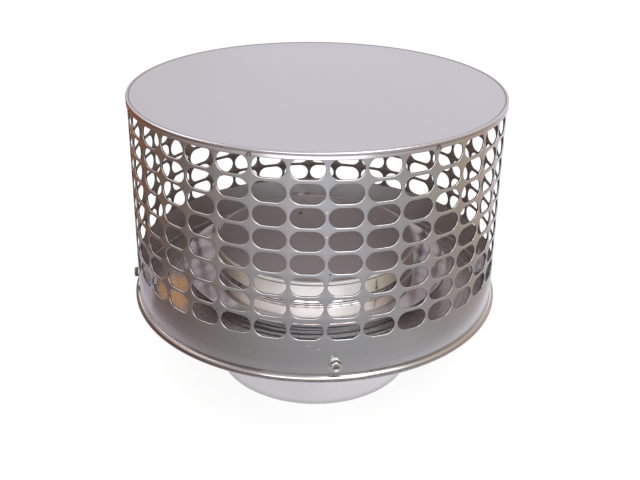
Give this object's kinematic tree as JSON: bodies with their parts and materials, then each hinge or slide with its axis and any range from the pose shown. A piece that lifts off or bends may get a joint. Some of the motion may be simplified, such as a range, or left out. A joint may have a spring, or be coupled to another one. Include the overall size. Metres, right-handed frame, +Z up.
{
  "type": "chimney cap",
  "caption": "Round stainless chimney cap: flat lid on a slotted spark screen, solid skirt, base plate, flue tube with a flat baffle ring.",
  "frame": {"origin": "on the cap's axis, in the plane of the flue tube's lower end", "axes": "+Z up along the axis from the flue tube to the lid; -Y towards the screw that faces the camera; +X to the right seen from there"},
  "size_m": [0.3134, 0.3134, 0.2482],
  "materials": {
    "lid_sheet": "mill finish stainless sheet",
    "screen_sheet": "bright perforated stainless sheet",
    "plate_sheet": "mill finish stainless sheet",
    "tube_sheet": "stainless sheet, brushed inside",
    "baffle_sheet": "bright stainless sheet",
    "fastener_steel": "plain stainless fastener"
  },
  "bodies": {
    "root": {"lid": "lid_sheet", "perforated_screen": "screen_sheet", "base_plate": "plate_sheet", "flue_tube": "tube_sheet", "baffle_ring": "baffle_sheet", "skirt_bracket_1": "plate_sheet", "skirt_screw_1": "fastener_steel", "skirt_nut_1": "fastener_steel", "skirt_bracket_2": "plate_sheet", "skirt_screw_2": "fastener_steel", "skirt_nut_2": "fastener_steel", "skirt_bracket_3": "plate_sheet", "skirt_screw_3": "fastener_steel", "skirt_nut_3": "fastener_steel", "skirt_bracket_4": "plate_sheet", "skirt_screw_4": "fastener_steel", "skirt_nut_4": "fastener_steel"}
  },
  "joints": []
}
